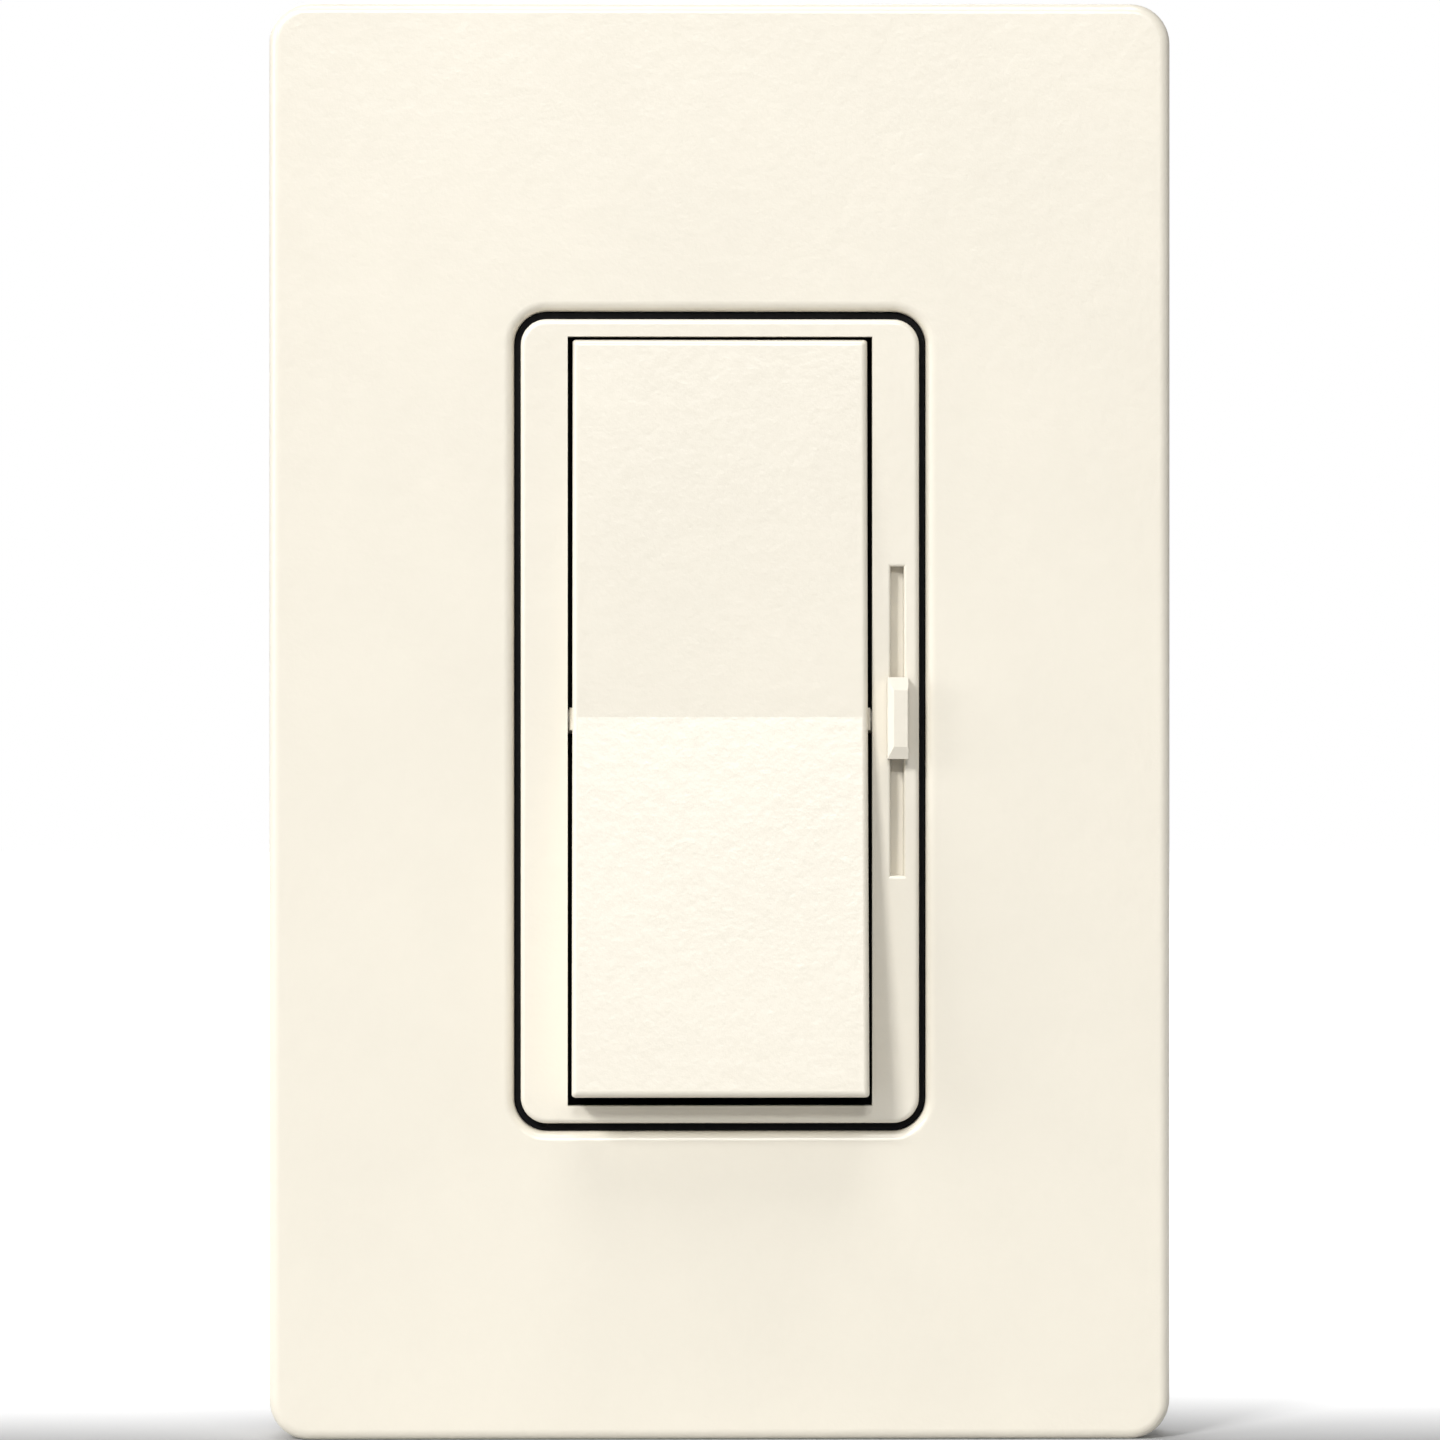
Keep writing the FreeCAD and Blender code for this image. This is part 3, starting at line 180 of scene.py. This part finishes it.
def rolled_metal(name, color, roughness, along, scratch=0.004 * MM):
    """Bare sheet metal: a fine grain along one axis, handling marks and a slight stain."""
    material, tree, shader, coords = new_material(name)
    squeeze = [1.0, 1.0, 1.0]
    squeeze[along] = 0.02
    grain = noise(tree, stretched(tree, coords, squeeze), 0.12 * MM, 4.0, 0.6)
    stain = noise(tree, coords, 6 * MM, 4.0, 0.6)
    color_out = blend_colors(tree, spread(tree, stain, 0.0, 1.0), tinted(color, 0.86), color)
    tree.links.new(color_out, shader.inputs["Base Color"])
    tree.links.new(spread(tree, grain, roughness - 0.08, roughness + 0.12),
                   shader.inputs["Roughness"])
    shader.inputs["Metallic"].default_value = 1.0
    normal = add_bump(tree, shader, grain, scratch)
    dents = noise(tree, coords, 1.5 * MM, 2.0)
    add_bump(tree, shader, dents, 0.01 * MM, normal)
    return material


def coated(name, color, roughness, speck, metallic=0.0, coat=0.0):
    """A dipped, printed or painted finish with specks of a second colour."""
    material, tree, shader, coords = new_material(name)
    grain = noise(tree, coords, 0.5 * MM, 4.0, 0.7)
    color_out = blend_colors(tree, spread(tree, grain, 0.0, 1.0, 0.35, 0.65), color, speck)
    tree.links.new(color_out, shader.inputs["Base Color"])
    drift = noise(tree, coords, 2.0 * MM)
    tree.links.new(spread(tree, drift, roughness - 0.05, roughness + 0.08),
                   shader.inputs["Roughness"])
    shader.inputs["Metallic"].default_value = metallic
    shader.inputs["Coat Weight"].default_value = coat
    add_bump(tree, shader, grain, 0.01 * MM)
    return material


SLOT_MATERIALS = {
    # painted light: the plate's ivory is a 4 % lighter copy of the paddle's, though both are one
    # plastic
    "ivory_plate": moulded_plastic("plate_ivory_painted_light", tinted(IVORY, 1.04), 0.30,
                                   specular=IVORY_SPECULAR),
    "ivory_face": moulded_plastic("face_ivory", IVORY, 0.30, specular=IVORY_SPECULAR),
    "black_plastic": moulded_plastic("black_moulding", (0.018, 0.018, 0.019), 0.48, 0.4 * MM,
                                     0.02 * MM, 0.2),
    # a real insulating sheet, made near-perfect black where it shows through the gap round the
    # paddle: painted shade of the gap
    "black_sheet": moulded_plastic("black_fibre_and_gap_shade", tinted(GAP_SHADE_BLACK, 0.7), 0.8, 0.3 * MM, 0.02 * MM,
                                   0.3, 0.2),
    "white_plastic": moulded_plastic("white_moulding", (0.72, 0.71, 0.67), 0.42),
    "aluminium": rolled_metal("rolled_aluminium", (0.74, 0.75, 0.76), 0.34, 2),
    "zinc_steel": rolled_metal("zinc_plate", (0.70, 0.70, 0.66), 0.28, 1, 0.002 * MM),
    "brass": rolled_metal("rolled_brass", (0.80, 0.58, 0.27), 0.28, 1, 0.002 * MM),
    "silver_contact": rolled_metal("silver_contact", (0.85, 0.84, 0.80), 0.3, 1),
    "green_steel": coated("green_finish", (0.02, 0.22, 0.08), 0.3, (0.03, 0.27, 0.11), 0.6, 0.2),
    "board": coated("board_laminate", (0.02, 0.12, 0.05), 0.4, (0.03, 0.16, 0.07), 0.0, 0.3),
    "tan_phenolic": coated("phenolic", (0.33, 0.18, 0.07), 0.5, (0.25, 0.13, 0.05)),
    "carbon_track": coated("carbon_track", (0.02, 0.02, 0.02), 0.4, (0.03, 0.03, 0.03)),
    "mica": coated("mica_pad", (0.45, 0.44, 0.4), 0.35, (0.55, 0.53, 0.48)),
    "ferrite": coated("powdered_iron", (0.12, 0.14, 0.07), 0.6, (0.08, 0.09, 0.05)),
    "copper_wire": coated("enamelled_copper", (0.42, 0.14, 0.05), 0.25, (0.5, 0.18, 0.07),
                          0.8, 0.5),
    "film_box": coated("film_box", (0.62, 0.4, 0.04), 0.3, (0.68, 0.44, 0.05), 0.0, 0.3),
    "red_film": coated("red_film", (0.32, 0.03, 0.02), 0.25, (0.38, 0.05, 0.03), 0.0, 0.5),
    "blue_disc": coated("blue_disc", (0.02, 0.07, 0.3), 0.3, (0.03, 0.09, 0.36), 0.0, 0.4),
    "resistor_body": coated("resistor_body", (0.5, 0.36, 0.2), 0.4, (0.56, 0.4, 0.22)),
    "diac_glass": coated("diac_glass", (0.02, 0.06, 0.25), 0.15, (0.03, 0.08, 0.3), 0.0, 1.0),
}


def adapter_plastic(gap_shade_y, plate_y):
    """The adapter's real black plastic, made deep black and duller where its lip shows in the gap
    round the bezel (painted shade of the gap), and its own grey-black further back.
    """
    material, tree, shader, coords = new_material("adapter_moulding")
    split = tree.nodes.new("ShaderNodeSeparateXYZ")
    tree.links.new(coords, split.inputs["Vector"])
    behind = spread(tree, split.outputs["Y"], 0.0, 1.0, gap_shade_y, plate_y)
    tree.links.new(blend_colors(tree, behind, GAP_SHADE_BLACK, GREY_BLACK),
                   shader.inputs["Base Color"])
    tree.links.new(spread(tree, behind, 0.08, 0.5, 0.0, 1.0), shader.inputs["Specular IOR Level"])
    grain = cells(tree, coords, 0.6 * MM)
    tree.links.new(spread(tree, grain, 0.45, 0.62), shader.inputs["Roughness"])
    add_bump(tree, shader, grain, 0.02 * MM)
    return material


GAP_SHADE_Y = -6.0 * MM            # in front of this the adapter is deep black: painted shade of the gap round the bezel
GAP_SHADE_FADE = 1.5 * MM            # the painted shade fades out, and from here to its back face it is its own grey-black

# nodes whose finish differs from the rest of their material slot
NODE_MATERIALS = {
    "wallplate_adapter": adapter_plastic(GAP_SHADE_Y,
                                         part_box("wallplate_adapter")[1].y - GAP_SHADE_FADE),
    # painted light: the bezel's ivory is a 3.5 % lighter copy of the paddle's, though both are one
    # plastic
    "bezel": moulded_plastic("bezel_ivory_painted_light", tinted(IVORY, 1.035), 0.32, specular=IVORY_SPECULAR),
}


def dress_cad_nodes():
    """Give each CAD node its own finish, or else its slot's."""
    for entry in frame["record"]["subparts"]:
        finish = NODE_MATERIALS.get(entry["node"], SLOT_MATERIALS[entry["material_slot"]])
        mesh = nodes[entry["node"]].data
        mesh.materials.clear()
        mesh.materials.append(finish)


dress_cad_nodes()


# ---------------------------------------------------------------- added pieces
THREAD_PITCH = 25.4 * MM / 32      # 6-32 screws
THREAD_DEPTH = 0.42 * MM
THREAD_RADIUS = 1.753 * MM
THREAD_CREST = 0.45                # half width of a ridge, in pitches
THREAD_TIP = 0.8 * MM              # length of the pointed end
TIP_TAPER = 0.4 * MM
THREAD_LEAD_IN = 0.1 * MM          # thread's overlap with the plain neck
THREAD_SIDES = 28
ROWS_PER_TURN = 8


def add_piece(name, bm, material, body):
    mesh = bpy.data.meshes.new(name)
    bm.to_mesh(mesh)
    bm.free()
    piece = bpy.data.objects.new(name, mesh)
    mesh.materials.append(material)
    bpy.context.scene.collection.objects.link(piece)
    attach(piece, body)
    return piece


def side_axes(along):
    """Two directions square to along, which is one of the frame's axes."""
    second = Vector((0, 0, 1))
    return second, along.cross(second)


def add_thread(bm, start, along, length):
    """A helical ridge around a core, from start, with a short run-out and a pointed end."""
    across, up = side_axes(along)
    rows = round(length / THREAD_PITCH * ROWS_PER_TURN)
    rings = []
    for row in range(rows + 1):
        depth = length * row / rows
        fade = min(1.0, depth / THREAD_PITCH, (length - depth) / THREAD_TIP)
        ring = []
        for side in range(THREAD_SIDES):
            turn = side / THREAD_SIDES
            phase = (depth / THREAD_PITCH - turn) % 1.0
            crest = max(0.0, 1.0 - abs(phase - 0.5) / THREAD_CREST)
            reach = THREAD_RADIUS - THREAD_DEPTH * (1.0 - crest * min(1.0, fade))
            reach -= TIP_TAPER * max(0.0, 1.0 - (length - depth) / THREAD_TIP)
            angle = 2 * math.pi * turn
            offset = across * math.cos(angle) + up * math.sin(angle)
            ring.append(bm.verts.new(start + along * depth + offset * reach))
        rings.append(ring)
    for near, far in zip(rings, rings[1:]):
        for side in range(THREAD_SIDES):
            after = (side + 1) % THREAD_SIDES
            bm.faces.new((near[side], far[side], far[after], near[after]))
    bm.faces.new(rings[-1][::-1])
    bm.faces.new(rings[0])


def rethreaded(node, body, places, along, plain, length):
    """The CAD screws' heads and necks, with real threads in place of their plain shanks."""
    bm = bmesh.new()
    bm.from_mesh(nodes[node].data)
    cut = bmesh.ops.bisect_plane(bm, geom=bm.verts[:] + bm.edges[:] + bm.faces[:],
                                 plane_co=places[0] + along * plain, plane_no=along,
                                 clear_outer=True)
    rim = [item for item in cut["geom_cut"] if isinstance(item, bmesh.types.BMEdge)]
    bmesh.ops.holes_fill(bm, edges=rim)
    for place in places:
        add_thread(bm, place + along * (plain - THREAD_LEAD_IN), along,
                   length - plain + THREAD_LEAD_IN)
    bmesh.ops.recalc_face_normals(bm, faces=bm.faces[:])
    entry = next(item for item in frame["record"]["subparts"] if item["node"] == node)
    piece = add_piece(node + "_threaded", bm, SLOT_MATERIALS[entry["material_slot"]], body)
    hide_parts(node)


def screw_middles(node, count):
    """Middle of each of count screws that stand apart along Z."""
    low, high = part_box(node)
    if count == 1:
        return [(low + high) / 2]
    points = [vertex.co for vertex in nodes[node].data.vertices]
    middles = []
    for above in (False, True):
        heights = [point.z for point in points if (point.z > (low.z + high.z) / 2) == above]
        middles.append(Vector(((low.x + high.x) / 2, 0, (min(heights) + max(heights)) / 2)))
    return middles


YOKE_THICKNESS = 1.5 * MM
MOUNTING_NECK = 0.05 * MM          # plain part of the mounting screws behind the yoke
GROUND_NECK = 2.1 * MM             # head and plain part of the ground screw


def add_threads():
    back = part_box("mounting_yoke")[0].y + YOKE_THICKNESS
    places = [Vector((middle.x, back, middle.z)) for middle in screw_middles("mounting_screws", 2)]
    rethreaded("mounting_screws", "device", places, Vector((0, 1, 0)), MOUNTING_NECK,
               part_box("mounting_screws")[1].y - back)
    low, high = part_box("ground_screw")
    middle = screw_middles("ground_screw", 1)[0]
    place = Vector((low.x, middle.y, middle.z))
    rethreaded("ground_screw", "device", [place], Vector((1, 0, 0)), GROUND_NECK,
               high.x - low.x)


def add_slab(bm, low, high, corner=0.0, steps=6):
    """A box, with its corners in the XZ plane rounded when corner is given."""
    outline = []
    for sign_x, sign_z, start in ((1, 1, 0), (-1, 1, 1), (-1, -1, 2), (1, -1, 3)):
        centre_x = (high.x - corner) if sign_x > 0 else (low.x + corner)
        centre_z = (high.z - corner) if sign_z > 0 else (low.z + corner)
        for step in range(steps + 1 if corner else 1):
            angle = math.pi / 2 * (start + step / steps)
            outline.append((centre_x + corner * math.cos(angle),
                            centre_z + corner * math.sin(angle)))
    front = [bm.verts.new((x, low.y, z)) for x, z in outline]
    back = [bm.verts.new((x, high.y, z)) for x, z in outline]
    bm.faces.new(front)
    bm.faces.new(back[::-1])
    for here in range(len(outline)):
        after = (here + 1) % len(outline)
        bm.faces.new((front[here], back[here], back[after], front[after]))


LABEL_HALF_WIDTH = 8.2 * MM
LABEL_HALF_HEIGHT = 20.7 * MM
LABEL_SUNK = 0.16 * MM             # label's face below the housing's back
LABEL_THICKNESS = 0.16 * MM
LABEL_CORNER = 0.8 * MM
BORDER_INSET = 1.2 * MM
BORDER_HALF_WIDTH = 0.18 * MM


def label_finish():
    """Satin polyester label with a printed border and no writing."""
    material, tree, shader, coords = new_material("blank_label")
    split = tree.nodes.new("ShaderNodeSeparateXYZ")
    tree.links.new(coords, split.inputs["Vector"])
    reach = []
    for axis, half in (("X", LABEL_HALF_WIDTH), ("Z", LABEL_HALF_HEIGHT)):
        size = tree.nodes.new("ShaderNodeMath")
        size.operation = "ABSOLUTE"
        tree.links.new(split.outputs[axis], size.inputs[0])
        inside = tree.nodes.new("ShaderNodeMath")
        inside.operation = "SUBTRACT"
        inside.inputs[0].default_value = half
        tree.links.new(size.outputs[0], inside.inputs[1])
        reach.append(inside.outputs[0])
    edge = tree.nodes.new("ShaderNodeMath")
    edge.operation = "MINIMUM"
    tree.links.new(reach[0], edge.inputs[0])
    tree.links.new(reach[1], edge.inputs[1])
    line = tree.nodes.new("ShaderNodeMath")
    line.operation = "COMPARE"
    line.inputs[1].default_value = BORDER_INSET
    line.inputs[2].default_value = BORDER_HALF_WIDTH
    tree.links.new(edge.outputs[0], line.inputs[0])
    grain = noise(tree, coords, 0.8 * MM, 4.0, 0.6)
    paper = blend_colors(tree, spread(tree, grain, 0.0, 1.0), (0.50, 0.50, 0.49),
                         (0.56, 0.56, 0.55))
    printed = tree.nodes.new("ShaderNodeMix")
    printed.data_type = "RGBA"
    printed.inputs["B"].default_value = (0.03, 0.03, 0.035, 1)
    tree.links.new(paper, printed.inputs["A"])
    tree.links.new(line.outputs[0], printed.inputs["Factor"])
    tree.links.new(printed.outputs["Result"], shader.inputs["Base Color"])
    tree.links.new(spread(tree, grain, 0.30, 0.42), shader.inputs["Roughness"])
    shader.inputs["Metallic"].default_value = 0.35
    add_bump(tree, shader, grain, 0.006 * MM)
    return material


def add_label():
    """Fills the shallow recess in the housing's back, just inside its edges."""
    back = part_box("housing")[1].y
    face = back - LABEL_SUNK
    bm = bmesh.new()
    add_slab(bm, Vector((-LABEL_HALF_WIDTH, face - LABEL_THICKNESS, -LABEL_HALF_HEIGHT)),
             Vector((LABEL_HALF_WIDTH, face, LABEL_HALF_HEIGHT)), LABEL_CORNER)
    bmesh.ops.recalc_face_normals(bm, faces=bm.faces[:])
    add_piece("blank_label", bm, label_finish(), "device")


RIB_HALF_THICKNESS = 0.5 * MM
RIB_HEIGHT = 1.0 * MM
RIB_ROOT = 0.1 * MM                # rib's overlap with the adapter
RIB_SPACING = 9.5 * MM
RIB_HALF_RUN = 30 * MM
YOKE_CLEARANCE = 1.2 * MM
ADAPTER_MARGIN = 1.6 * MM


def add_adapter_ribs():
    """Stiffening ribs on the back of the adapter, between the yoke and the cover's wall."""
    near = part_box("mounting_yoke")[1].x + YOKE_CLEARANCE
    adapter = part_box("wallplate_adapter")[1]
    far = adapter.x - ADAPTER_MARGIN
    root, crest = adapter.y - RIB_ROOT, adapter.y + RIB_HEIGHT
    bm = bmesh.new()
    for side in (-1, 1):
        left, right = sorted((side * near, side * far))
        for row in range(-3, 4):
            z = row * RIB_SPACING
            add_slab(bm, Vector((left, root, z - RIB_HALF_THICKNESS)),
                     Vector((right, crest, z + RIB_HALF_THICKNESS)))
        for x in (left + RIB_HALF_THICKNESS, right - RIB_HALF_THICKNESS):
            add_slab(bm, Vector((x - RIB_HALF_THICKNESS, root, -RIB_HALF_RUN)),
                     Vector((x + RIB_HALF_THICKNESS, crest, RIB_HALF_RUN)))
    bmesh.ops.recalc_face_normals(bm, faces=bm.faces[:])
    add_piece("adapter_ribs", bm, NODE_MATERIALS["wallplate_adapter"], "device")


BEVEL_ANGLE = 55                   # degrees; flatter edges stay as they are


def soften_edges(node, width):
    """Break the sharp edges of a CAD node; its own mesh stays as it is."""
    bevel = nodes[node].modifiers.new("broken_edges", "BEVEL")
    bevel.width = width
    bevel.segments = 2
    bevel.limit_method = "ANGLE"
    bevel.angle_limit = math.radians(BEVEL_ANGLE)
    bevel.use_clamp_overlap = True


add_threads()
add_label()
add_adapter_ribs()
soften_edges("bezel", 0.07 * MM)
soften_edges("housing", 0.15 * MM)
soften_edges("mounting_yoke", 0.08 * MM)


# ---------------------------------------------------------------- studio
FLOOR_GLOW = 0.95                  # emission of the floor behind the part
GLOW_STARTS, GLOW_FULL = -8 * MM, 30 * MM
CAMERA_LENS = 135.7
CAMERA_OFFSET = Vector((-5 * MM, -449.3 * MM, 0))
CAMERA_RISE = 0.1 * MM


def make_floor(level):
    """A pale matt floor that glows behind the part, so that it runs into the white background."""
    bpy.ops.mesh.primitive_plane_add(size=4.0, location=(0, 0, level))
    floor = bpy.context.object
    floor.name = "studio_floor"
    material, tree, shader, coords = new_material("floor_white")
    drift = noise(tree, coords, 0.3)
    tree.links.new(blend_colors(tree, drift, (0.43, 0.43, 0.43), (0.46, 0.46, 0.46)),
                   shader.inputs["Base Color"])
    shader.inputs["Roughness"].default_value = 0.9
    shader.inputs["Emission Color"].default_value = (1, 1, 1, 1)
    split = tree.nodes.new("ShaderNodeSeparateXYZ")
    tree.links.new(coords, split.inputs["Vector"])
    glow = spread(tree, split.outputs["Y"], 0.0, FLOOR_GLOW, GLOW_STARTS, GLOW_FULL)
    tree.links.new(glow, shader.inputs["Emission Strength"])
    floor.data.materials.append(material)


def area_light(name, place, target, size, power):
    """A soft box of the given width and height, turned to look at target."""
    light = bpy.data.lights.new(name, "AREA")
    light.shape = "RECTANGLE"
    light.size, light.size_y = size
    light.energy = power
    holder = bpy.data.objects.new(name, light)
    holder.location = place
    holder.rotation_euler = (Vector(target) - Vector(place)).to_track_quat("-Z", "Y").to_euler()
    bpy.context.scene.collection.objects.link(holder)


def soft_box(name, direction, distance, size, share):
    """A light whose irradiance on a face that looks along -Y is share times pi."""
    heading = Vector(direction).normalized()
    power = share * math.pi ** 2 * distance ** 2 / -heading.y
    area_light(name, heading * distance, (0, 0, 0), size, power)


def make_world(ambient):
    """White to the camera, dimmer as a light, so that the shadows keep their depth."""
    world = bpy.data.worlds.new("studio")
    world.use_nodes = True
    tree = world.node_tree
    tree.nodes.clear()
    output = tree.nodes.new("ShaderNodeOutputWorld")
    seen = tree.nodes.new("ShaderNodeBackground")
    seen.inputs["Strength"].default_value = 1.0
    seen.inputs["Color"].default_value = (1, 1, 1, 1)
    lit = tree.nodes.new("ShaderNodeBackground")
    lit.inputs["Strength"].default_value = ambient
    lit.inputs["Color"].default_value = (1, 1, 1, 1)
    mix = tree.nodes.new("ShaderNodeMixShader")
    rays = tree.nodes.new("ShaderNodeLightPath")
    tree.links.new(rays.outputs["Is Camera Ray"], mix.inputs["Fac"])
    tree.links.new(lit.outputs["Background"], mix.inputs[1])
    tree.links.new(seen.outputs["Background"], mix.inputs[2])
    tree.links.new(mix.outputs["Shader"], output.inputs["Surface"])
    bpy.context.scene.world = world


def make_camera():
    """Nearly square to the face, far enough that the perspective stays slight."""
    face_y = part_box("bezel")[0].y
    camera = bpy.data.cameras.new("camera")
    camera.lens = CAMERA_LENS
    camera.sensor_width = 36.0
    camera.clip_start = 0.01
    camera.clip_end = 10
    holder = bpy.data.objects.new("camera", camera)
    aim = Vector((0, face_y, CAMERA_RISE))
    holder.location = aim + CAMERA_OFFSET
    holder.rotation_euler = (aim - holder.location).to_track_quat("-Z", "Y").to_euler()
    bpy.context.scene.collection.objects.link(holder)
    bpy.context.scene.camera = holder


make_floor(cad_bounds[0][2])
# each light's direction from the object, distance, size and how much it adds on a face that
# looks straight at the camera
make_world(0.08)
soft_box("key", (-0.62, -1.00, 0.74), 4.0, (0.76, 0.76), 0.435)
soft_box("upper_front", (0.0, -1.0, 0.42), 4.0, (0.76, 0.30), 0.215)
soft_box("top", (0.0, -0.36, 0.93), 3.2, (1.6, 1.2), 0.12)
soft_box("left", (-0.90, -0.36, 0.25), 3.2, (1.0, 1.6), 0.10)
area_light("back_fill", (-0.35, 1.0, 0.75), (0, 0.1, 0), (0.9, 0.9), 8.0)
make_camera()
bpy.context.scene.view_settings.view_transform = "Standard"
